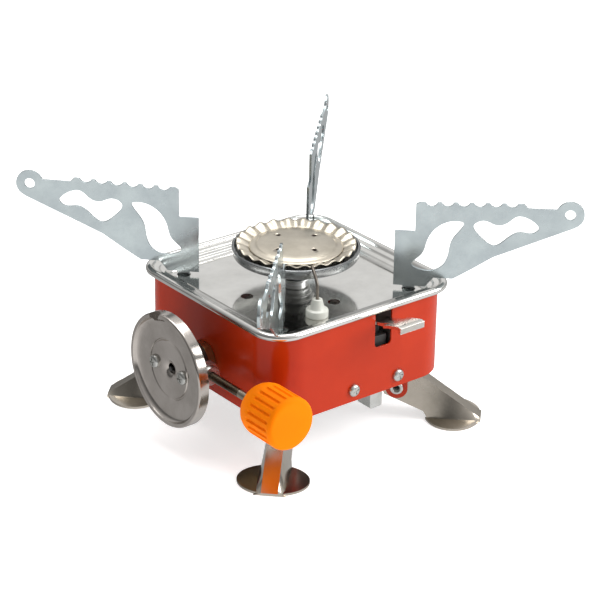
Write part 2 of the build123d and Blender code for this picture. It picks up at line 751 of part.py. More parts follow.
# Inlet plate: pressed cup with a wide flat lip that meets the cartridge
DISC_FACE = -58.2
LIP_WIDTH = 4.0
BOSS_RADIUS = 12.0
with BuildPart() as inlet_plate:
    with BuildSketch(Plane.XZ):
        with BuildLine():
            Polyline(
                (DISC_FACE + 1.0, VALVE_LEVEL),
                (DISC_FACE - 0.4, VALVE_LEVEL),
                (DISC_FACE - 0.4, VALVE_LEVEL + BOSS_RADIUS - 0.4),
                (DISC_FACE, VALVE_LEVEL + BOSS_RADIUS),
                (DISC_FACE, VALVE_LEVEL + DISC_RADIUS - LIP_WIDTH - 1.6),
                (DISC_FRONT + 0.5, VALVE_LEVEL + DISC_RADIUS - LIP_WIDTH - 0.3),
                (DISC_FRONT, VALVE_LEVEL + DISC_RADIUS - LIP_WIDTH + 0.3),
                (DISC_FRONT, VALVE_LEVEL + DISC_RADIUS - 0.7),
                (DISC_FRONT + 0.6, VALVE_LEVEL + DISC_RADIUS),
                (DISC_BACK, VALVE_LEVEL + DISC_RADIUS),
                (DISC_BACK, VALVE_LEVEL + DISC_RADIUS - 0.9),
                (DISC_FRONT + 0.95, VALVE_LEVEL + DISC_RADIUS - 0.9),
                (DISC_FRONT + 0.95, VALVE_LEVEL + DISC_RADIUS - LIP_WIDTH + 0.6),
                (DISC_FACE + 1.0, VALVE_LEVEL + DISC_RADIUS - LIP_WIDTH - 0.8),
                close=True,
            )
        make_face()
    revolve(axis=Axis((0, 0, VALVE_LEVEL), (1, 0, 0)))
    # Centre hole and key notch at the top of the rim
    with BuildSketch(along_x(-65, 0, VALVE_LEVEL)):
        Circle(4.4)
        for side in (-1, 1):
            with Locations((side * 8.7, 0)):
                Circle(1.25)
        with Locations((0, DISC_RADIUS)):
            Rectangle(6.4, 6.4)
    extrude(amount=12, mode=Mode.SUBTRACT)
save(inlet_plate.part, "inlet_plate")

with BuildPart() as inlet_screws:
    screw_seat = DISC_FACE - 0.4
    for side in (-1, 1):
        with BuildSketch(along_x(screw_seat - 1.6, side * 8.7, VALVE_LEVEL)):
            Circle(2.6)
        extrude(amount=1.6)
        with BuildSketch(along_x(screw_seat, side * 8.7, VALVE_LEVEL)):
            Circle(1.25)
        extrude(amount=3.2)
    heads = inlet_screws.edges().filter_by(GeomType.CIRCLE).group_by(Axis.X)[0]
    fillet(heads, radius=0.9)
    for side in (-1, 1):
        with BuildSketch(along_x(screw_seat - 2.2, side * 8.7, VALVE_LEVEL)):
            Rectangle(2.6, 0.6)
            Rectangle(0.6, 2.6)
        extrude(amount=1.3, mode=Mode.SUBTRACT)
save(inlet_screws.part, "inlet_screws")

# Screw plate behind the inlet plate
with BuildPart() as inlet_backing:
    with BuildSketch(along_x(DISC_FACE + 1.0, 0, VALVE_LEVEL)):
        SlotOverall(24, 17.6)
        Circle(7.41, mode=Mode.SUBTRACT)
        for side in (-1, 1):
            with Locations((side * 8.7, 0)):
                Circle(1.25, mode=Mode.SUBTRACT)
    extrude(amount=1.6)
save(inlet_backing.part, "inlet_backing")

# Seal ring with a funnel mouth, and the opening pin
with BuildPart() as inlet_seal:
    with BuildSketch(Plane.XZ):
        with BuildLine():
            Polyline(
                (DISC_FACE - 0.4, VALVE_LEVEL + 4.38),
                (DISC_FACE - 0.4, VALVE_LEVEL + 4.0),
                (DISC_FACE + 0.9, VALVE_LEVEL + 2.0),
                (DISC_FACE + 1.2, VALVE_LEVEL + 2.0),
                (DISC_FACE + 1.2, VALVE_LEVEL + 4.38),
                close=True,
            )
        make_face()
    revolve(axis=Axis((0, 0, VALVE_LEVEL), (1, 0, 0)))
save(inlet_seal.part, "inlet_seal")

with BuildPart() as inlet_pin:
    with BuildSketch(along_x(DISC_FACE + 0.1, 0, VALVE_LEVEL)):
        Circle(0.9)
    extrude(amount=1.1)
save(inlet_pin.part, "inlet_pin")

# Stem and knob turn together
with BuildPart() as valve_stem:
    with BuildSketch(along_front(-4.2, STEM_X, STEM_LEVEL)):
        Circle(1.6)
    extrude(amount=-4.2 - KNOB_BACK + 10)
    with BuildSketch(along_front(-37.4, STEM_X, STEM_LEVEL)):
        Circle(2.1)
    extrude(amount=-37.4 - KNOB_BACK)
save(valve_stem.part, "valve_stem")

KNOB_LENGTH = KNOB_BACK - KNOB_FRONT
KNOB_RIBS = 20
with BuildPart() as knob:
    with BuildSketch(Plane(origin=(STEM_X, KNOB_BACK, STEM_LEVEL), x_dir=(0, -1, 0), z_dir=(0, 0, 1))):
        with BuildLine():
            Polyline((0, 0), (0, 6.4))
            ThreePointArc((0, 6.4), (1.3, 8.4), (4.6, KNOB_RADIUS))
            Polyline((4.6, KNOB_RADIUS), (KNOB_LENGTH - 1.6, KNOB_RADIUS))
            ThreePointArc(
                (KNOB_LENGTH - 1.6, KNOB_RADIUS),
                (KNOB_LENGTH - 0.45, KNOB_RADIUS - 0.45),
                (KNOB_LENGTH, KNOB_RADIUS - 1.6),
            )
            Polyline((KNOB_LENGTH, KNOB_RADIUS - 1.6), (KNOB_LENGTH, 0), (0, 0))
        make_face()
    revolve(axis=Axis((STEM_X, 0, STEM_LEVEL), (0, 1, 0)))
    # Grip ribs in the middle of the length
    for k in range(KNOB_RIBS):
        turn = 2 * pi * k / KNOB_RIBS
        reach = KNOB_RADIUS + 0.35
        rib_x = STEM_X + reach * cos(turn)
        rib_z = STEM_LEVEL + reach * sin(turn)
        with BuildSketch(along_front(KNOB_BACK - 5.0, rib_x, rib_z)):
            Circle(0.85)
        extrude(amount=KNOB_LENGTH - 8.4, mode=Mode.SUBTRACT)
    with BuildSketch(along_front(KNOB_BACK + 1, STEM_X, STEM_LEVEL)):
        Circle(1.6)
    extrude(amount=11, mode=Mode.SUBTRACT)
save(knob.part, "knob")
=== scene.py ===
from math import atan2, cos, hypot, pi, radians, sin, tau

import bmesh
import bpy
from mathutils import Matrix, Vector


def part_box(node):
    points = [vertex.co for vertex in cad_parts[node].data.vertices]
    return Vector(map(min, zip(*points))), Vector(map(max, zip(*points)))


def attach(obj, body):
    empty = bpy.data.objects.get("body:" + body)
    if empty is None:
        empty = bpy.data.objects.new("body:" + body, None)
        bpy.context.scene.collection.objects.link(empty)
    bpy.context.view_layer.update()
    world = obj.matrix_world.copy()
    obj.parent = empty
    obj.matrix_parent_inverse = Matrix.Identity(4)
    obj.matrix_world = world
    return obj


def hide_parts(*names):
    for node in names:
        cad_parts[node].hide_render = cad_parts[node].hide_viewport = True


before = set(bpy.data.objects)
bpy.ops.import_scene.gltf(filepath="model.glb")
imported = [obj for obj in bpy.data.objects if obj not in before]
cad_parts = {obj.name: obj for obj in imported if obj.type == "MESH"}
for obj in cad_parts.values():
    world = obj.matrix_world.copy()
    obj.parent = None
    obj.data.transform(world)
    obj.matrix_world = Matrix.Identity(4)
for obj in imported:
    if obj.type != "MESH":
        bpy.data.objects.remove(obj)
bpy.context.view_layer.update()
MM = 0.001
CORNERS = {"front_left": 225, "front_right": 315, "back_right": 45, "back_left": 135}


# ---------------------------------------------------------------------------
# Housing. A square steel box, deep-drawn in one piece and open below, sprayed
# glossy red. The slot, union hole and screw holes are punched before painting.

def object_from(bm, name, crease=30):
    """Finished piece: smooth shaded, with edges sharper than the crease kept."""
    bmesh.ops.recalc_face_normals(bm, faces=bm.faces)
    mesh = bpy.data.meshes.new(name)
    bm.to_mesh(mesh)
    bm.free()
    for face in mesh.polygons:
        face.use_smooth = True
    mesh.set_sharp_from_angle(angle=radians(crease))
    piece = bpy.data.objects.new(name, mesh)
    bpy.context.scene.collection.objects.link(piece)
    return piece


def apply_modifiers(piece):
    """Bakes the piece's modifiers into its mesh."""
    depsgraph = bpy.context.evaluated_depsgraph_get()
    baked = bpy.data.meshes.new_from_object(
        piece.evaluated_get(depsgraph), preserve_all_data_layers=True, depsgraph=depsgraph
    )
    piece.modifiers.clear()
    piece.data = baked


def cut(piece, bm, solver="EXACT"):
    """Takes the cutter's volume out of the piece."""
    cutter = object_from(bm, piece.name + "_cutter")
    boolean = piece.modifiers.new("cut", "BOOLEAN")
    boolean.operation = "DIFFERENCE"
    boolean.solver = solver
    boolean.object = cutter
    apply_modifiers(piece)
    bpy.data.objects.remove(cutter)


def soften(piece, width, segments=2, angle=35):
    """Rounds the piece's hard edges as tooling and paint do."""
    bevel = piece.modifiers.new("soft edges", "BEVEL")
    bevel.width = width
    bevel.segments = segments
    bevel.limit_method = "ANGLE"
    bevel.angle_limit = radians(angle)
    bevel.harden_normals = False
    apply_modifiers(piece)
    shade(piece, 40)


def shade(piece, crease):
    """Smooth shading that keeps broad faces flat and edges over the crease sharp."""
    for face in piece.data.polygons:
        face.use_smooth = True
    piece.data.set_sharp_from_angle(angle=radians(crease))
    even = piece.modifiers.new("even shading", "WEIGHTED_NORMAL")
    even.keep_sharp = True
    even.weight = 80
    apply_modifiers(piece)


def copy_of(node, width=0.0, segments=2):
    """A new piece on the CAD node's shape, welded and with softened edges."""
    bm = bmesh.new()
    bm.from_mesh(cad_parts[node].data)
    bmesh.ops.remove_doubles(bm, verts=bm.verts, dist=0.002 * MM)
    bmesh.ops.dissolve_limit(bm, angle_limit=radians(0.6), verts=bm.verts, edges=bm.edges)
    piece = object_from(bm, node + "_finished")
    if width:
        soften(piece, width, segments)
    return piece


def rounded_square(bm, half, corner, level, segments=14):
    """A flat square face with arcs at its corners."""
    made = bmesh.ops.create_grid(bm, x_segments=1, y_segments=1, size=half)
    bmesh.ops.bevel(
        bm, geom=made["verts"], affect="VERTICES", offset=corner, offset_type="OFFSET",
        segments=segments, profile=0.5, material=-1,
    )
    face = bm.faces[:][-1]
    bmesh.ops.translate(bm, verts=face.verts[:], vec=(0, 0, level))
    return face


def new_group(name, inputs, outputs):
    """An empty shader node group with the named sockets."""
    tree = bpy.data.node_groups.new(name, "ShaderNodeTree")
    for label, kind, value in inputs:
        socket = tree.interface.new_socket(name=label, in_out="INPUT", socket_type=kind)
        socket.default_value = value
    for label, kind in outputs:
        tree.interface.new_socket(name=label, in_out="OUTPUT", socket_type=kind)
    return tree, tree.nodes.new("NodeGroupInput"), tree.nodes.new("NodeGroupOutput")


def scaled_noise(tree, vector, scale, detail=3.0, roughness=0.55, factor=(1, 1, 1)):
    """Noise on object coordinates, stretched by factor."""
    mapping = tree.nodes.new("ShaderNodeMapping")
    mapping.inputs["Scale"].default_value = factor
    noise = tree.nodes.new("ShaderNodeTexNoise")
    noise.inputs["Detail"].default_value = detail
    noise.inputs["Roughness"].default_value = roughness
    tree.links.new(vector, mapping.inputs["Vector"])
    tree.links.new(mapping.outputs["Vector"], noise.inputs["Vector"])
    if isinstance(scale, (int, float)):
        noise.inputs["Scale"].default_value = scale
    else:
        tree.links.new(scale, noise.inputs["Scale"])
    return noise.outputs["Fac"]


def ramp(tree, value, low, high, start=0.0, end=1.0):
    """Value mapped from low..high to start..end and clamped."""
    node = tree.nodes.new("ShaderNodeMapRange")
    node.inputs["From Min"].default_value = low
    node.inputs["From Max"].default_value = high
    node.inputs["To Min"].default_value = start
    node.inputs["To Max"].default_value = end
    tree.links.new(value, node.inputs["Value"])
    return node.outputs["Result"]


def blend_colours(tree, factor, first, second):
    """Mix of two colours, each a colour value or a socket."""
    node = tree.nodes.new("ShaderNodeMix")
    node.data_type = "RGBA"
    for colour, label in ((first, "A"), (second, "B")):
        socket = [s for s in node.inputs if s.name == label and s.type == "RGBA"][0]
        if isinstance(colour, tuple):
            socket.default_value = (*colour, 1)
        else:
            tree.links.new(colour, socket)
    factor_socket = [s for s in node.inputs if s.name == "Factor" and s.type == "VALUE"][0]
    tree.links.new(factor, factor_socket)
    return [s for s in node.outputs if s.type == "RGBA"][0]


def multiply(tree, first, second):
    """Product of two values."""
    node = tree.nodes.new("ShaderNodeMath")
    node.operation = "MULTIPLY"
    for index, value in enumerate((first, second)):
        if isinstance(value, (int, float)):
            node.inputs[index].default_value = value
        else:
            tree.links.new(value, node.inputs[index])
    return node.outputs[0]


# Handling marks: cloudy smudges, and hairline scratches in two directions.
marks, marks_in, marks_out = new_group(
    "handling marks",
    [("Vector", "NodeSocketVector", (0, 0, 0)), ("Scale", "NodeSocketFloat", 60.0)],
    [("Smudge", "NodeSocketFloat"), ("Scratches", "NodeSocketFloat")],
)
cloud = scaled_noise(marks, marks_in.outputs["Vector"], marks_in.outputs["Scale"], 4.0)
marks.links.new(ramp(marks, cloud, 0.38, 0.68), marks_out.inputs["Smudge"])
lines_a = scaled_noise(marks, marks_in.outputs["Vector"], 900.0, 2.0, 0.5, (1.0, 0.03, 0.3))
lines_b = scaled_noise(marks, marks_in.outputs["Vector"], 700.0, 2.0, 0.5, (0.05, 1.0, 0.4))
crossed = multiply(marks, ramp(marks, lines_a, 0.62, 0.70), ramp(marks, lines_b, 0.35, 0.60))
marks.links.new(crossed, marks_out.inputs["Scratches"])

# Fine grain: the short stretched texture of rolled or pressed sheet, or of
# paint and moulded plastic when the stretch is even.
grain, grain_in, grain_out = new_group(
    "fine grain",
    [
        ("Vector", "NodeSocketVector", (0, 0, 0)),
        ("Stretch", "NodeSocketVector", (1, 1, 1)),
        ("Scale", "NodeSocketFloat", 1500.0),
    ],
    [("Height", "NodeSocketFloat")],
)
stretch = grain.nodes.new("ShaderNodeVectorMath")
stretch.operation = "MULTIPLY"
grain.links.new(grain_in.outputs["Vector"], stretch.inputs[0])
grain.links.new(grain_in.outputs["Stretch"], stretch.inputs[1])
fine = grain.nodes.new("ShaderNodeTexNoise")
fine.inputs["Detail"].default_value = 2.0
grain.links.new(stretch.outputs["Vector"], fine.inputs["Vector"])
grain.links.new(grain_in.outputs["Scale"], fine.inputs["Scale"])
grain.links.new(fine.outputs["Fac"], grain_out.inputs["Height"])

# Mottle: two tones of one finish in soft patches, with finer flecks in them.
mottle, mottle_in, mottle_out = new_group(
    "mottle",
    [
        ("Vector", "NodeSocketVector", (0, 0, 0)),
        ("Scale", "NodeSocketFloat", 120.0),
        ("Tone", "NodeSocketColor", (0.5, 0.5, 0.5, 1)),
        ("Second Tone", "NodeSocketColor", (0.4, 0.4, 0.4, 1)),
    ],
    [("Colour", "NodeSocketColor")],
)
patches = scaled_noise(mottle, mottle_in.outputs["Vector"], mottle_in.outputs["Scale"], 5.0, 0.62)
mottle.links.new(
    blend_colours(
        mottle, ramp(mottle, patches, 0.36, 0.66),
        mottle_in.outputs["Tone"], mottle_in.outputs["Second Tone"],
    ),
    mottle_out.inputs["Colour"],
)


def finish(
    name, tone, second, metallic, rough, worn, size=120.0, stretch=(1, 1, 1), fineness=1500.0,
    depth=0.06, scratch=0.0, coat=0.0, specular=0.5,
):
    """One surface finish. tone and second are its two tones, rough and worn the
    roughness where it is clean and where it is smudged, depth the grain's bump."""
    material = bpy.data.materials.new(name)
    material.use_nodes = True
    tree = material.node_tree
    shader = tree.nodes["Principled BSDF"]
    shader.inputs["Metallic"].default_value = metallic
    shader.inputs["Coat Weight"].default_value = coat
    shader.inputs["Coat Roughness"].default_value = 0.06
    shader.inputs["Specular IOR Level"].default_value = specular
    place = tree.nodes.new("ShaderNodeTexCoord").outputs["Object"]
    groups = {}
    for label, group in (("mottle", mottle), ("grain", grain), ("marks", marks)):
        node = tree.nodes.new("ShaderNodeGroup")
        node.node_tree = group
        tree.links.new(place, node.inputs["Vector"])
        groups[label] = node
    groups["mottle"].inputs["Scale"].default_value = size
    groups["mottle"].inputs["Tone"].default_value = (*tone, 1)
    groups["mottle"].inputs["Second Tone"].default_value = (*second, 1)
    groups["grain"].inputs["Stretch"].default_value = stretch
    groups["grain"].inputs["Scale"].default_value = fineness
    groups["marks"].inputs["Scale"].default_value = size * 0.6
    tree.links.new(groups["mottle"].outputs["Colour"], shader.inputs["Base Color"])
    tree.links.new(
        ramp(tree, groups["marks"].outputs["Smudge"], 0, 1, rough, worn), shader.inputs["Roughness"]
    )
    height = groups["grain"].outputs["Height"]
    if scratch:
        add = tree.nodes.new("ShaderNodeMath")
        add.operation = "SUBTRACT"
        tree.links.new(height, add.inputs[0])
        tree.links.new(multiply(tree, groups["marks"].outputs["Scratches"], scratch), add.inputs[1])
        height = add.outputs[0]
    bump = tree.nodes.new("ShaderNodeBump")
    bump.inputs["Strength"].default_value = depth
    bump.inputs["Distance"].default_value = 0.05 * MM
    tree.links.new(height, bump.inputs["Height"])
    tree.links.new(bump.outputs["Normal"], shader.inputs["Normal"])
    return material


def dress(piece, material, slot, body, *nodes):
    """Gives a finished piece its material and body and hides the nodes it stands for. The slot argument is
    not used.
    """
    piece.data.materials.clear()
    piece.data.materials.append(material)
    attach(piece, body)
    if nodes:
        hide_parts(*nodes)
    return piece


def darken(piece, material, inside):
    """Second material on the faces whose centres satisfy the test."""
    piece.data.materials.append(material)
    for face in piece.data.polygons:
        if inside(face):
            face.material_index = 1


red_paint = finish(
    "red enamel", (0.48, 0.030, 0.004), (0.43, 0.025, 0.003), 0.0, 0.16, 0.24,
    size=40, fineness=700, depth=0.06, coat=0.0, specular=0.24,
)
low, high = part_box("housing")
housing_half = high.x
SHEET = 0.8 * MM
HOUSING_CORNER = 13.5 * MM
bm = bmesh.new()
base = rounded_square(bm, housing_half, HOUSING_CORNER, low.z, 16)
rim_edges = base.edges[:]
bmesh.ops.delete(bm, geom=[base], context="FACES_ONLY")
walls = bmesh.ops.extrude_edge_only(bm, edges=rim_edges)
top_verts = [v for v in walls["geom"] if isinstance(v, bmesh.types.BMVert)]
bmesh.ops.translate(bm, verts=top_verts, vec=(0, 0, high.z - low.z))
housing = object_from(bm, "housing_shell")
solid = housing.modifiers.new("sheet", "SOLIDIFY")
solid.thickness = SHEET
solid.offset = -1
apply_modifiers(housing)
low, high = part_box("bracket_screws")
screw_level = (low.z + high.z) / 2
screw_left = low.x + 2.4 * MM
screw_right = high.x - 2.4 * MM
lever_low, lever_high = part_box("piezo_housing")
slot_centre = (lever_low.x + lever_high.x) / 2
union_low, union_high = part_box("gas_union")
gas_level = (union_low.z + union_high.z) / 2
SLOT_WIDTH = 7.8 * MM
SLOT_SILL = 39.2 * MM
bm = bmesh.new()
made = bmesh.ops.create_cube(bm, size=1)
bmesh.ops.scale(bm, verts=made["verts"], vec=(SLOT_WIDTH, 6 * MM, 30 * MM))
sides = [e for e in bm.edges if abs(e.verts[0].co.y - e.verts[1].co.y) > 1 * MM]
bmesh.ops.bevel(bm, geom=sides, affect="EDGES", offset=1.6 * MM, segments=6, profile=0.5, material=-1)
bmesh.ops.translate(bm, verts=bm.verts, vec=(slot_centre, -housing_half, SLOT_SILL + 15 * MM))
cut(housing, bm)
for x, y, z, radius, axis in (
    (screw_left, -housing_half, screw_level, 1.6, "Y"),
    (screw_right, -housing_half, screw_level, 1.6, "Y"),
    (-housing_half, 0, gas_level, 6.2, "X"),
):
    bm = bmesh.new()
    turn = Matrix.Rotation(radians(90), 4, "X" if axis == "Y" else "Y")
    bmesh.ops.create_cone(
        bm, cap_ends=True, segments=48, radius1=radius * MM, radius2=radius * MM, depth=6 * MM,
        matrix=Matrix.Translation((x, y, z)) @ turn,
    )
    cut(housing, bm)
soften(housing, 0.22 * MM, 3)
dress(housing, red_paint, "red_enamel", "stove", "housing")
# Painted shade: the inside faces get a near-black coat so the air holes and slot look dark
painted_shade = finish(
    "painted shade black", (0.030, 0.012, 0.010), (0.045, 0.020, 0.016), 0.0, 0.75, 0.85,
    size=60, fineness=600, depth=0.12,
)
darken(
    housing, painted_shade,
    lambda face: Vector((*face.center.xy, 0)).normalized().dot(face.normal) < -0.5
    and face.area > 2 * MM * MM,
)


# ---------------------------------------------------------------------------
# Tray. Mirror-bright stainless sheet pressed into steps, its edge curled
# outwards and under over the housing. Air, pivot and burner holes are pierced.

def tone_steel(name, tone, second, rough, worn, **extra):
    """Bare metal: a finish with full metallic and rolled grain."""
    return finish(name, tone, second, 1.0, rough, worn, **extra)


stainless = tone_steel(
    "polished stainless", (0.80, 0.79, 0.76), (0.70, 0.69, 0.66), 0.07, 0.16,
    size=70, fineness=500, depth=0.012, scratch=0.25,
)
low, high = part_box("top_tray")
RIM_CORNER = 12 * MM
rim_level = high.z - 1.5 * MM
floor_level = 52.2 * MM
bm = bmesh.new()
face = rounded_square(bm, high.x, RIM_CORNER, rim_level, 20)
# Outer edge up over the bead, down its inside, then the steps to the floor
profile = (
    (0.20, 0.75), (0.55, 0.50), (0.75, 0.20), (0.75, -0.20), (0.50, -0.45), (0.35, -0.55),
    (0.35, -0.15), (1.30, -0.05), (0.45, -0.35), (0.35, -0.55), (0.60, -0.15), (1.10, -0.05),
    (0.50, -0.30), (0.45, -0.45), (0.90, -0.20), (0.60, -0.22),
)
for inset, rise in profile:
    bmesh.ops.inset_region(
        bm, faces=[face], thickness=inset * MM, depth=rise * MM, use_even_offset=True, use_boundary=True
    )
drop = floor_level - face.verts[0].co.z
bmesh.ops.translate(bm, verts=face.verts[:], vec=(0, 0, drop))
tray_top = bm
bm_under = bmesh.new()
face = rounded_square(bm_under, high.x, RIM_CORNER, rim_level, 20)
for inset, rise in ((0.20, -0.75), (0.55, -0.50), (0.75, -0.20), (0.75, 0.20), (0.50, 0.45)):
    bmesh.ops.inset_region(
        bm_under, faces=[face], thickness=inset * MM, depth=rise * MM,
        use_even_offset=True, use_boundary=True,
    )
bmesh.ops.delete(bm_under, geom=[face], context="FACES_ONLY")
under_mesh = bpy.data.meshes.new("bead underside")
bm_under.to_mesh(under_mesh)
bm_under.free()
tray_top.from_mesh(under_mesh)
bmesh.ops.remove_doubles(tray_top, verts=tray_top.verts, dist=0.01 * MM)
tray = object_from(tray_top, "tray_pressing", 50)
solid = tray.modifiers.new("sheet", "SOLIDIFY")
solid.thickness = 0.4 * MM
solid.offset = -1
apply_modifiers(tray)
spark_low, spark_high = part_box("spark_insulator")
spark_x = (spark_low.x + spark_high.x) / 2
spark_y = (spark_low.y + spark_high.y) / 2
arm_pivot = 30.2 * MM
holes = [(0, 0, 4.62), (spark_x, spark_y, 2.62)]
holes += [(23 * MM * cos(k * pi / 2), 23 * MM * sin(k * pi / 2), 2.35) for k in range(4)]
holes += [(arm_pivot * sx, arm_pivot * sy, 2.6) for sx in (-1, 1) for sy in (-1, 1)]
for x, y, radius in holes:
    bm = bmesh.new()
    bmesh.ops.create_cone(
        bm, cap_ends=True, segments=40, radius1=radius * MM, radius2=radius * MM, depth=8 * MM,
        matrix=Matrix.Translation((x, y, floor_level)),
    )
    cut(tray, bm)
shade(tray, 50)
dress(tray, stainless, "stainless", "stove", "top_tray")
# Painted shade: the walls of the pierced holes take the near-black material so the holes look dark
darken(
    tray, painted_shade,
    lambda face: abs(face.normal.z) < 0.5
    and any(hypot(face.center.x - x, face.center.y - y) < (r + 0.05) * MM for x, y, r in holes),
)


# ---------------------------------------------------------------------------
# Pot supports. Blanked from 1 mm steel with a toothed top edge, tumbled to
# take the burr off, then zinc plated with a blue-white passivation.

zinc_plate = tone_steel(
    "blue zinc plate", (0.62, 0.69, 0.70), (0.52, 0.58, 0.60), 0.20, 0.32,
    size=95, stretch=(1, 1, 0.12), fineness=1800, depth=0.10, scratch=0.5,
)
for corner in CORNERS:
    node = "pot_support_" + corner
    support = copy_of(node, 0.12 * MM, 2)
    dress(support, zinc_plate, "zinc_plate", "support_" + corner, node)


# ---------------------------------------------------------------------------
# Legs. Each is pressed from one nickel-plated blank: a web, two flared walls
# and an oval foot whose halves stand out on either side of the channel.

nickel = tone_steel(
    "nickel plate", (0.53, 0.48, 0.415), (0.43, 0.39, 0.33), 0.17, 0.28,
    size=60, stretch=(1, 1, 0.2), fineness=1600, depth=0.06, scratch=0.4,
)
for corner in CORNERS:
    node = "leg_" + corner
    leg = copy_of(node, 0.25 * MM, 3)
    dress(leg, nickel, "nickel_steel", "leg_" + corner, node)


# ---------------------------------------------------------------------------
# Leg brackets and rivets. The brackets are folded sheet, painted with the
# housing. Each leg turns on a hollow steel rivet, rolled over at both ends.

rivet_steel = tone_steel(
    "zinc-plated hardware", (0.66, 0.66, 0.64), (0.50, 0.50, 0.47), 0.24, 0.36,
    size=220, fineness=2400, depth=0.06,
)
PIVOT_REACH = 40 * MM
PIVOT_LEVEL = 13 * MM
for corner, angle in CORNERS.items():
    bracket = copy_of("leg_bracket_" + corner, 0.25 * MM, 3)
    dress(bracket, red_paint, "red_enamel", "stove", "leg_bracket_" + corner)

    bm = bmesh.new()
    rolled = ((1.2, -6.35), (1.5, -6.6), (2.0, -6.75), (2.45, -6.55), (2.6, -6.15), (1.9, -6.12))
    outline = [(r, t) for r, t in rolled] + [(r, -t) for r, t in reversed(rolled)]
    points = [bm.verts.new((r * MM, 0, t * MM)) for r, t in outline]
    edges = [bm.edges.new(pair) for pair in zip(points, points[1:] + points[:1])]
    bmesh.ops.spin(
        bm, geom=points + edges, cent=(0, 0, 0), axis=(0, 0, 1), angle=tau, steps=40, use_merge=True
    )
    out = Vector((cos(radians(angle)), sin(radians(angle)), 0))
    across = Vector((sin(radians(angle)), -cos(radians(angle)), 0))
    turn = Matrix((out, Vector((0, 0, 1)), across)).transposed().to_4x4()
    centre = out * PIVOT_REACH + Vector((0, 0, PIVOT_LEVEL))
    bmesh.ops.transform(bm, matrix=Matrix.Translation(centre) @ turn, verts=bm.verts)
    rivet = object_from(bm, "rivet_" + corner + "_rolled", 60)
    dress(rivet, rivet_steel, "screw_steel", "stove", "leg_rivet_" + corner)


# ---------------------------------------------------------------------------
# Burner. A ribbed neck carries a zinc cup with a hemmed band. A nickel-plated
# ring, pleated like a cake case, sits in the cup round a domed cap.

def turned(name, outline, steps=96, centre=(0, 0, 0), axis="Z", crease=35):
    """Spins an outline of (radius, height) in millimetres about an axis."""
    bm = bmesh.new()
    points = [bm.verts.new((r * MM, 0, h * MM)) for r, h in outline]
    closed = outline[0][0] > 0.001 or outline[-1][0] > 0.001
    pairs = list(zip(points, points[1:]))
    if closed:
        pairs.append((points[-1], points[0]))
    edges = [bm.edges.new(pair) for pair in pairs]
    bmesh.ops.spin(
        bm, geom=points + edges, cent=(0, 0, 0), axis=(0, 0, 1), angle=tau, steps=steps, use_merge=True
    )
    bmesh.ops.remove_doubles(bm, verts=bm.verts, dist=0.001 * MM)
    turns = {
        "Z": Matrix.Identity(4),
        "X": Matrix.Rotation(radians(90), 4, "Y"),
        "-X": Matrix.Rotation(radians(-90), 4, "Y"),
        "-Y": Matrix.Rotation(radians(90), 4, "X"),
    }
    bmesh.ops.transform(bm, matrix=Matrix.Translation(centre) @ turns[axis], verts=bm.verts)
    return object_from(bm, name, crease)


cast_zinc = tone_steel(
    "cast zinc", (0.62, 0.63, 0.63), (0.47, 0.48, 0.48), 0.26, 0.42, size=140, fineness=1300, depth=0.12,
)
warm_nickel = tone_steel(
    "warm nickel", (0.60, 0.55, 0.46), (0.49, 0.445, 0.365), 0.30, 0.42,
    size=110, fineness=1600, depth=0.08,
)
neck_outline = [(3.1, 45.5), (4.6, 45.5), (4.6, 53.4)]
for level, radius in ((54.2, 5.4), (56.2, 6.1), (58.2, 7.0)):
    neck_outline += [
        (4.6, level - 0.6),
        (radius - 0.35, level - 0.5),
        (radius, level - 0.2),
        (radius, level + 0.2),
        (radius - 0.35, level + 0.5),
        (4.6, level + 0.6),
    ]
neck_outline += [(4.6, 58.8), (3.1, 58.8)]
neck = turned("neck_turned", neck_outline, 72)
dress(neck, cast_zinc, "zinc_cast", "stove", "burner_neck")

cup_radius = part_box("burner_cup")[1].x / MM
cup_outline = [
    (3.1, 58.8), (8.2, 58.8), (8.7, 59.1), (9.6, 60.6), (10.4, 61.15), (15.0, 62.2), (22.6, 63.1),
    (cup_radius - 0.75, 63.5), (cup_radius - 0.5, 63.9), (cup_radius - 0.35, 65.9),
    (cup_radius - 0.05, 66.2), (cup_radius, 66.6), (cup_radius - 0.12, 66.95), (cup_radius - 0.5, 67.2),
    (cup_radius - 0.95, 67.15), (cup_radius - 1.2, 66.8), (cup_radius - 1.25, 66.3),
    (cup_radius - 1.3, 64.4), (22.0, 63.9), (14.8, 63.0), (9.6, 61.9), (8.0, 59.8), (3.1, 59.8),
]
cup = turned("cup_pressed", cup_outline, 128)
# Painted shade: the cup takes a darker copy of the cast zinc for its shadowed side wall
shaded_zinc_copy = tone_steel(
    "zinc darkened with painted shade", (0.30, 0.31, 0.31), (0.22, 0.225, 0.23), 0.20, 0.34,
    size=120, fineness=1300, depth=0.10,
)
dress(cup, shaded_zinc_copy, "zinc_cast", "stove", "burner_cup")

FLUTES = 24
RING_INNER = 17.4 * MM
bm = bmesh.new()
made = bmesh.ops.create_circle(bm, segments=FLUTES * 12, radius=RING_INNER - 1.2 * MM)
bmesh.ops.translate(bm, verts=made["verts"], vec=(0, 0, 66.1 * MM))
ring_edges = bm.edges[:]
rows = ((1.2, 0.15), (0.7, 0.25), (0.8, 0.40), (1.0, 0.50), (1.1, 0.45), (0.9, 0.30), (0.7, 0.10))
reach = RING_INNER - 1.2 * MM
for step, rise in rows:
    made = bmesh.ops.extrude_edge_only(bm, edges=ring_edges)
    verts = [v for v in made["geom"] if isinstance(v, bmesh.types.BMVert)]
    ring_edges = [e for e in made["geom"] if isinstance(e, bmesh.types.BMEdge)]
    grow = (reach + step * MM) / reach
    reach += step * MM
    bmesh.ops.scale(bm, verts=verts, vec=(grow, grow, 1))
    bmesh.ops.translate(bm, verts=verts, vec=(0, 0, rise * MM))
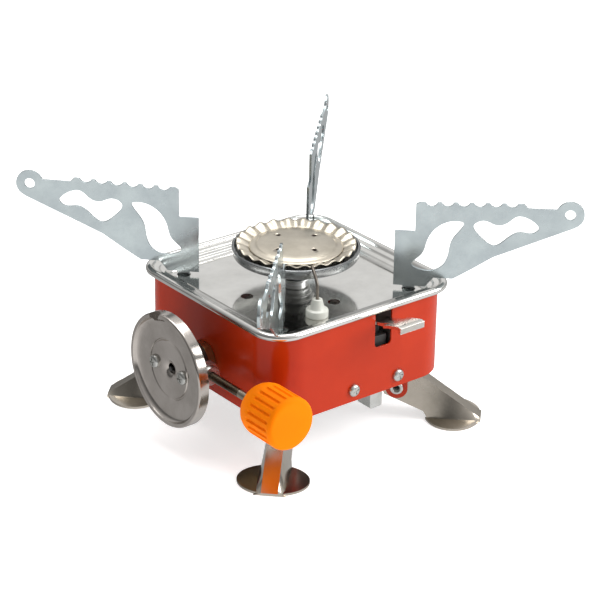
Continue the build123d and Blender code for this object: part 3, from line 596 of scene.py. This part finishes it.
# Pleats grow from nothing at the cap to full depth at the outer edge
for vert in bm.verts:
    pleat = min(max((hypot(vert.co.x, vert.co.y) - RING_INNER) / (1.8 * MM), 0), 1)
    vert.co.z += 0.5 * MM * pleat * cos(FLUTES * atan2(vert.co.y, vert.co.x))
flame_ring = object_from(bm, "flame_ring_pleated", 60)
solid = flame_ring.modifiers.new("sheet", "SOLIDIFY")
solid.thickness = 0.35 * MM
solid.offset = -1
apply_modifiers(flame_ring)
dress(flame_ring, warm_nickel, "burner_nickel", "stove", "flame_ring")

cap_outline = [
    (0, 66.4), (17.0, 66.4), (17.5, 66.5), (17.7, 66.7), (17.6, 66.9), (17.0, 67.05), (16.0, 67.2),
    (15.2, 67.4), (14.9, 67.65), (14.6, 67.78), (12.0, 68.0), (8.0, 68.3), (4.0, 68.5), (0, 68.58),
]
cap = turned("cap_domed", cap_outline, 96, crease=50)
flame_holes = []
for k in range(4):
    turn = radians(7 + 90 * k)
    flame_holes.append((9.6 * MM * cos(turn), 9.6 * MM * sin(turn)))
for x, y in flame_holes:
    bm = bmesh.new()
    bmesh.ops.create_cone(
        bm, cap_ends=True, segments=24, radius1=0.9 * MM, radius2=0.9 * MM, depth=6 * MM,
        matrix=Matrix.Translation((x, y, 67 * MM)),
    )
    cut(cap, bm)
dress(cap, warm_nickel, "burner_nickel", "stove", "burner_cap")
# Painted shade: the walls of the flame holes take the near-black material so the holes look dark
darken(
    cap, painted_shade,
    lambda face: abs(face.normal.z) < 0.5
    and any(hypot(face.center.x - x, face.center.y - y) < 0.95 * MM for x, y in flame_holes),
)

# Hidden gas parts keep the shape they have and take their own metals
brass = tone_steel(
    "worn brass", (0.52, 0.37, 0.17), (0.36, 0.25, 0.11), 0.24, 0.38, size=180, fineness=1500, depth=0.08,
)
alloy = tone_steel(
    "die-cast alloy", (0.50, 0.50, 0.49), (0.40, 0.40, 0.39), 0.42, 0.55, size=160, fineness=1100, depth=0.18,
)


def plain_node(node, material):
    """Gives a CAD node that keeps its own shape its material."""
    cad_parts[node].data.materials.clear()
    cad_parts[node].data.materials.append(material)


for node, material in (
    ("burner_mixer", alloy), ("mixer_bracket", rivet_steel), ("gas_jet", brass), ("gas_tube", brass),
    ("union_locknut", brass),
):
    plain_node(node, material)


# ---------------------------------------------------------------------------
# Spark insulator and electrode. White glazed porcelain, turned in steps, with
# a bare wire that rises out of it and bends over to the flame ring.

porcelain = finish(
    "glazed porcelain", (0.70, 0.70, 0.64), (0.62, 0.62, 0.56), 0.0, 0.30, 0.42,
    size=150, fineness=900, depth=0.05, coat=0.4,
)
spark_place = (spark_x, spark_y, 0)
insulator_outline = [
    (0.75, 47.5), (2.45, 47.5), (2.6, 47.7), (2.6, 52.2), (4.0, 52.2), (4.2, 52.45), (4.2, 54.5),
    (4.0, 54.9), (3.6, 55.1), (2.85, 55.25), (2.65, 55.5), (1.98, 58.5), (1.85, 58.85), (1.6, 59.0),
    (0.95, 59.0), (0.7, 58.8), (0.62, 57.0), (0.62, 48.0),
]
insulator = turned("insulator_turned", insulator_outline, 64, spark_place)
dress(insulator, porcelain, "ceramic_white", "stove", "spark_insulator")

wire = bpy.data.curves.new("electrode_bent", "CURVE")
wire.dimensions = "3D"
wire.bevel_depth = 0.6 * MM
wire.bevel_resolution = 5
wire.resolution_u = 10
wire.use_fill_caps = True
route = wire.splines.new("NURBS")
tip = (spark_x + 2.3 * MM, spark_y + 6.2 * MM, 69.0 * MM)
stops = [
    (spark_x, spark_y, 57.2 * MM), (spark_x, spark_y, 59.5 * MM), (spark_x - 0.1 * MM, spark_y, 61.5 * MM),
    (spark_x, spark_y, 63.6 * MM), (spark_x + 0.3 * MM, spark_y + 0.7 * MM, 65.3 * MM),
    (spark_x + 1.2 * MM, spark_y + 3.2 * MM, 67.2 * MM), tip,
]
route.points.add(len(stops) - 1)
for point, stop in zip(route.points, stops):
    point.co = (*stop, 1)
route.order_u = 4
route.use_endpoint_u = True
bent = bpy.data.objects.new("electrode_bent", wire)
bpy.context.scene.collection.objects.link(bent)
heated_wire = tone_steel(
    "heated wire", (0.26, 0.23, 0.20), (0.16, 0.14, 0.12), 0.30, 0.45,
    size=300, fineness=2400, depth=0.08,
)
dress(bent, heated_wire, "screw_steel", "stove", "spark_electrode")

sleeve = finish(
    "silicone sleeve", (0.70, 0.67, 0.60), (0.62, 0.59, 0.52), 0.0, 0.5, 0.62,
    size=90, fineness=900, depth=0.08,
)
plain_node("ignition_lead", sleeve)


# ---------------------------------------------------------------------------
# Igniter. A black moulded piezo unit stands behind the slot in a steel strap.
# A nickel-plated lever comes out over it and ends in a lip for the thumb.

black_moulding = finish(
    "black moulding", (0.018, 0.018, 0.018), (0.032, 0.031, 0.030), 0.0, 0.42, 0.55,
    size=80, fineness=900, depth=0.14,
)
for node in ("piezo_housing", "piezo_plunger"):
    body = "plunger" if node == "piezo_plunger" else "stove"
    moulded = copy_of(node, 0.3 * MM, 3)
    dress(moulded, black_moulding, "black_plastic", body, node)
strap = copy_of("piezo_strap", 0.3 * MM, 3)
dress(strap, rivet_steel, "screw_steel", "stove", "piezo_strap")
for node in ("igniter_bracket", "lever_pin"):
    plain_node(node, rivet_steel)
for corner in CORNERS:
    plain_node("support_collar_" + corner, rivet_steel)
    plain_node("support_washer_" + corner, rivet_steel)
bright_nickel = tone_steel(
    "bright nickel", (0.86, 0.83, 0.77), (0.76, 0.73, 0.67), 0.20, 0.30,
    size=90, fineness=1600, depth=0.06, scratch=0.4,
)
lever = copy_of("igniter_lever", 0.45 * MM, 4)
bm = bmesh.new()
bm.from_mesh(lever.data)
LIP_ROOT = -45.0 * MM
LIP_LENGTH = 13 * MM
LIP_DROP = 1.3 * MM
for k in range(14):
    parts = bm.verts[:] + bm.edges[:] + bm.faces[:]
    bmesh.ops.bisect_plane(bm, geom=parts, plane_co=(0, LIP_ROOT - k * MM, 0), plane_no=(0, 1, 0))
# The lip curves down towards its tip
for vert in bm.verts:
    reach = max(LIP_ROOT - vert.co.y, 0) / LIP_LENGTH
    vert.co.z -= LIP_DROP * reach ** 2
bm.to_mesh(lever.data)
bm.free()
shade(lever, 50)
dress(lever, bright_nickel, "nickel_steel", "lever", "igniter_lever")


def pan_screws(name, centres, radius, height, facing, slot, body, node):
    """Pan-head screws with a cross recess, joined as one piece."""
    heads = None
    for centre in centres:
        outline = [
            (0, -3.0), (1.25, -3.0), (1.25, 0), (radius, 0), (radius, 0.35 * height),
            (radius - 0.12, 0.62 * height), (radius - 0.5, 0.86 * height),
            (radius - 1.1, 0.97 * height), (0, height),
        ]
        head = turned(name, outline, 40)
        for turn in (0, 90):
            bm = bmesh.new()
            made = bmesh.ops.create_cube(bm, size=1)
            recess = (1.15 * radius * MM, 0.24 * radius * MM, 1.0 * MM)
            bmesh.ops.scale(bm, verts=made["verts"], vec=recess)
            skew = Matrix.Rotation(radians(turn + 18), 3, "Z")
            bmesh.ops.rotate(bm, verts=bm.verts, cent=(0, 0, 0), matrix=skew)
            bmesh.ops.translate(bm, verts=bm.verts, vec=(0, 0, (height + 0.1) * MM))
            cut(head, bm)
        head.data.transform(Matrix.Translation(centre) @ facing)
        if heads is None:
            heads = head
        else:
            bm = bmesh.new()
            bm.from_mesh(heads.data)
            bm.from_mesh(head.data)
            bm.to_mesh(heads.data)
            bm.free()
            bpy.data.objects.remove(head)
    for polygon in heads.data.polygons:
        polygon.use_smooth = True
    heads.data.set_sharp_from_angle(angle=radians(35))
    dress(heads, rivet_steel, slot, body, node)


facing_front = Matrix.Rotation(radians(90), 4, "X")
facing_left = Matrix.Rotation(radians(-90), 4, "Y")
front_seats = [(x, -housing_half, screw_level) for x in (screw_left, screw_right)]
pan_screws(
    "bracket_screw_heads", front_seats, 2.4, 1.5, facing_front, "screw_steel", "stove", "bracket_screws"
)


# ---------------------------------------------------------------------------
# Gas valve. The blackened body turns in a brass union in the wall. It carries
# the round inlet plate, pressed from nickel-plated steel with a raised rim.

blackened = finish(
    "blackened metal", (0.045, 0.040, 0.034), (0.075, 0.066, 0.055), 0.6, 0.34, 0.48,
    size=140, fineness=1200, depth=0.12,
)
union = copy_of("gas_union", 0.35 * MM, 3)
dress(union, brass, "brass", "stove", "gas_union")
body = copy_of("valve_body", 0.35 * MM, 3)
dress(body, blackened, "valve_metal", "valve", "valve_body")
gland = copy_of("gland_nut", 0.3 * MM, 3)
dress(gland, rivet_steel, "screw_steel", "valve", "gland_nut")
backing = copy_of("inlet_backing", 0.2 * MM, 2)
dress(backing, rivet_steel, "screw_steel", "valve", "inlet_backing")

plate_low, plate_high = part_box("inlet_plate")
plate_front = plate_low.x
plate_radius = plate_high.y / MM
inlet_place = (plate_front, 0, gas_level)
# Radius and depth behind the rim's edge, from the dished centre out and back behind the face
plate_outline = [
    (2.0, 3.4), (2.3, 3.1), (3.4, 2.62), (4.6, 2.28), (5.8, 2.15), (11.0, 2.15), (11.3, 2.55),
    (11.7, 2.55), (12.0, 2.2), (16.0, 2.15), (18.2, 1.95), (19.3, 1.6), (19.9, 1.1), (20.2, 0.3),
    (20.4, 0.05), (20.7, 0.0), (21.5, 0.0), (21.8, 0.2), (21.95, 0.5),
    (plate_radius, 0.9), (plate_radius, 4.3), (plate_radius - 0.7, 4.3), (plate_radius - 0.75, 2.8),
    (17.6, 3.1), (16.5, 3.3), (5.4, 3.3), (4.0, 3.4), (2.6, 3.8), (2.0, 3.8),
]
plate_outline = [(r, -depth) for r, depth in plate_outline]
plate = turned("inlet_plate_pressed", plate_outline, 128, inlet_place, "-X", 28)
bm = bmesh.new()
# A key notch in the rim, a little past the top
NOTCH_WIDTH = 7.0 * MM
made = bmesh.ops.create_cube(bm, size=1)
bmesh.ops.scale(bm, verts=made["verts"], vec=(3.6 * MM, NOTCH_WIDTH, 4.6 * MM))
notch_place = (plate_front + 0.7 * MM, 0, gas_level + (plate_radius - 1.2) * MM)
bmesh.ops.translate(bm, verts=made["verts"], vec=notch_place)
past_top = Matrix.Rotation(radians(-16), 3, "X")
bmesh.ops.rotate(bm, verts=made["verts"], cent=inlet_place, matrix=past_top)
cut(plate, bm)
shade(plate, 32)
plate_nickel = tone_steel(
    "plate nickel", (0.60, 0.555, 0.515), (0.47, 0.43, 0.395), 0.15, 0.26,
    size=75, fineness=1600, depth=0.05, scratch=0.8,
)
dress(plate, plate_nickel, "nickel_steel", "valve", "inlet_plate", "inlet_seal")
plain_node("inlet_pin", black_moulding)
seat = plate_front + 2.2 * MM
inlet_seats = [(seat, y * MM, gas_level) for y in (-8.7, 8.7)]
pan_screws(
    "inlet_screw_heads", inlet_seats, 2.6, 1.6, facing_left, "screw_steel", "valve", "inlet_screws"
)


# ---------------------------------------------------------------------------
# Control knob on its stem. The stem is turned steel with a light sleeve. The
# knob is moulded in orange plastic, with grip ribs between smooth ends.

stem = copy_of("valve_stem", 0.2 * MM, 2)
oiled_steel = tone_steel(
    "oiled steel", (0.17, 0.13, 0.09), (0.10, 0.075, 0.05), 0.24, 0.38, size=160, fineness=1500, depth=0.08,
)
SLEEVE_START = -32 * MM
bm = bmesh.new()
bm.from_mesh(stem.data)
parts = bm.verts[:] + bm.edges[:] + bm.faces[:]
bmesh.ops.bisect_plane(bm, geom=parts, plane_co=(0, SLEEVE_START, 0), plane_no=(0, 1, 0))
bm.to_mesh(stem.data)
bm.free()
shade(stem, 40)
dress(stem, oiled_steel, "screw_steel", "control", "valve_stem")
pale_sleeve = tone_steel(
    "pale sleeve", (0.46, 0.41, 0.33), (0.36, 0.32, 0.25), 0.28, 0.40, size=160, fineness=1500, depth=0.08,
)
darken(stem, pale_sleeve, lambda face: face.center.y < SLEEVE_START)
orange = finish(
    "orange moulding", (1.0, 0.228, 0.001), (0.94, 0.200, 0.001), 0.0, 0.50, 0.60,
    size=45, fineness=800, depth=0.16, specular=0.04,
)
knob_low, knob_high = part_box("knob")
knob_radius = (knob_high.z - knob_low.z) / 2
knob_level = (knob_high.z + knob_low.z) / 2
knob_back = knob_high.y
KNOB_RIBS = 22
RIB_DEPTH = 0.7 * MM
bm = bmesh.new()
made = bmesh.ops.create_circle(bm, segments=KNOB_RIBS * 12, radius=knob_radius)
ring_edges = bm.edges[:]
# Share of the radius, depth along the knob and rib strength
stations = (
    (0.64, 0.0, 0), (0.75, 0.2, 0), (0.83, 0.8, 0), (0.90, 1.8, 0), (0.95, 3.0, 0), (0.985, 4.2, 0),
    (0.998, 5.0, 0), (1.0, 6.6, 0.1), (1.0, 7.0, 0.8), (1.0, 7.5, 1), (1.0, 9.8, 1), (1.0, 12.2, 1),
    (1.0, 14.6, 1), (1.0, 16.6, 1), (1.0, 17.2, 0.9), (1.0, 17.7, 0.5), (1.0, 18.1, 0.1),
    (0.998, 18.5, 0), (0.985, 19.0, 0), (0.955, 19.5, 0), (0.915, 19.82, 0), (0.86, 19.97, 0),
    (0.80, 20.0, 0), (0.5, 20.0, 0), (0.25, 20.0, 0),
)
first_share = stations[0][0]
bmesh.ops.scale(bm, verts=bm.verts, vec=(first_share, first_share, 1))
first_ring = bm.edges[:]
for share, depth, ribbing in stations[1:]:
    made = bmesh.ops.extrude_edge_only(bm, edges=ring_edges)
    verts = [v for v in made["geom"] if isinstance(v, bmesh.types.BMVert)]
    ring_edges = [e for e in made["geom"] if isinstance(e, bmesh.types.BMEdge)]
    for vert in verts:
        turn = atan2(vert.co.y, vert.co.x)
        groove = ribbing * RIB_DEPTH * max(0, cos(KNOB_RIBS * turn)) ** 0.7
        reach = knob_radius * share - groove
        vert.co = (reach * cos(turn), reach * sin(turn), depth * MM)
bmesh.ops.holes_fill(bm, edges=ring_edges, sides=0)
bmesh.ops.holes_fill(bm, edges=first_ring, sides=0)
stem_low, stem_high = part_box("valve_stem")
stem_x = (stem_low.x + stem_high.x) / 2
turn = Matrix.Rotation(radians(90), 4, "X")
bmesh.ops.transform(bm, matrix=Matrix.Translation((stem_x, knob_back, knob_level)) @ turn, verts=bm.verts)
knob = object_from(bm, "knob_moulded", 40)
dress(knob, orange, "knob_orange", "control", "knob")


# ---------------------------------------------------------------------------
# Studio: a plain pale floor, soft boxes and the camera.

floor_material = finish(
    "floor", (0.90, 0.90, 0.90), (0.89, 0.89, 0.89), 0.0, 0.9, 0.95, size=3, fineness=60, depth=0.01,
)
floor_shader = floor_material.node_tree.nodes["Principled BSDF"]
floor_shader.inputs["Emission Color"].default_value = (1, 1, 1, 1)
floor_shader.inputs["Emission Strength"].default_value = 0.6
bm = bmesh.new()
bmesh.ops.create_grid(bm, x_segments=2, y_segments=2, size=4)
floor = object_from(bm, "floor")
floor.data.materials.append(floor_material)
floor.visible_glossy = False


def soft_box(name, place, aim, width, height, power, tint=(1, 1, 1)):
    """A rectangular area light that faces its aim."""
    lamp = bpy.data.lights.new(name, "AREA")
    lamp.shape = "RECTANGLE"
    lamp.size = width
    lamp.size_y = height
    lamp.energy = power
    lamp.color = tint
    box = bpy.data.objects.new(name, lamp)
    facing = (Vector(aim) - Vector(place)).to_track_quat("-Z", "Y").to_matrix().to_4x4()
    box.matrix_world = Matrix.Translation(place) @ facing
    bpy.context.scene.collection.objects.link(box)


soft_box("key", (0.75, -0.75, 0.65), (0, 0, 0.04), 0.7, 0.7, 9.0)
soft_box("top", (0.15, 0.25, 1.1), (0, 0, 0.05), 0.9, 0.7, 7.0)
world = bpy.data.worlds.new("studio")
bpy.context.scene.world = world
world.use_nodes = True
room = world.node_tree
sky = room.nodes["Background"]
sky.inputs["Strength"].default_value = 0.9
direction = room.nodes.new("ShaderNodeTexCoord")
split = room.nodes.new("ShaderNodeSeparateXYZ")
room.links.new(direction.outputs["Generated"], split.inputs[0])
bands = room.nodes.new("ShaderNodeValToRGB")
bands.color_ramp.elements[0].position = 0.0
bands.color_ramp.elements[0].color = (0.85, 0.85, 0.85, 1)
bands.color_ramp.elements[1].position = 1.0
bands.color_ramp.elements[1].color = (1, 1, 1, 1)
for position, level in ((0.45, 0.85), (0.50, 0.22), (0.56, 0.42), (0.65, 0.86), (0.84, 0.95)):
    stop = bands.color_ramp.elements.new(position)
    stop.color = (level, level, level, 1)
room.links.new(ramp(room, split.outputs["Z"], -1, 1), bands.inputs["Fac"])
# The room is darker on the left, above the horizon
side = ramp(room, split.outputs["X"], -0.8, 0.3, 0.25, 1.0)
# Below it, what the metal mirrors is brighter in front than behind
below = multiply(
    room,
    ramp(room, split.outputs["Z"], -0.03, 0.03, 1.0, 0.0),
    ramp(room, split.outputs["Y"], -0.6, 0.7, 1.25, 0.55),
)
above = ramp(room, split.outputs["Z"], -0.03, 0.03, 0.0, 1.0)
side = multiply(room, side, above)
lift = room.nodes.new("ShaderNodeMath")
lift.operation = "MAXIMUM"
room.links.new(side, lift.inputs[0])
room.links.new(below, lift.inputs[1])
shaded = room.nodes.new("ShaderNodeVectorMath")
shaded.operation = "SCALE"
room.links.new(bands.outputs["Color"], shaded.inputs[0])
room.links.new(lift.outputs[0], shaded.inputs["Scale"])
room.links.new(shaded.outputs["Vector"], sky.inputs["Color"])

camera = bpy.data.objects.new("camera", bpy.data.cameras.new("camera"))
bpy.context.scene.collection.objects.link(camera)
azimuth, elevation, roll = radians(-38.616), radians(24.827), radians(0.975)
back = Vector((sin(azimuth) * cos(elevation), -cos(azimuth) * cos(elevation), sin(elevation)))
level_right = Vector((cos(azimuth), sin(azimuth), 0))
level_up = back.cross(level_right)
right = level_right * cos(roll) + level_up * sin(roll)
up = level_up * cos(roll) - level_right * sin(roll)
turn = Matrix((right, up, back)).transposed().to_4x4()
camera.matrix_world = Matrix.Translation((-0.484535, -0.609487, 0.404606)) @ turn
camera.data.lens = 135.71
camera.data.clip_end = 20
bpy.context.scene.camera = camera
bpy.context.scene.view_settings.view_transform = "Standard"
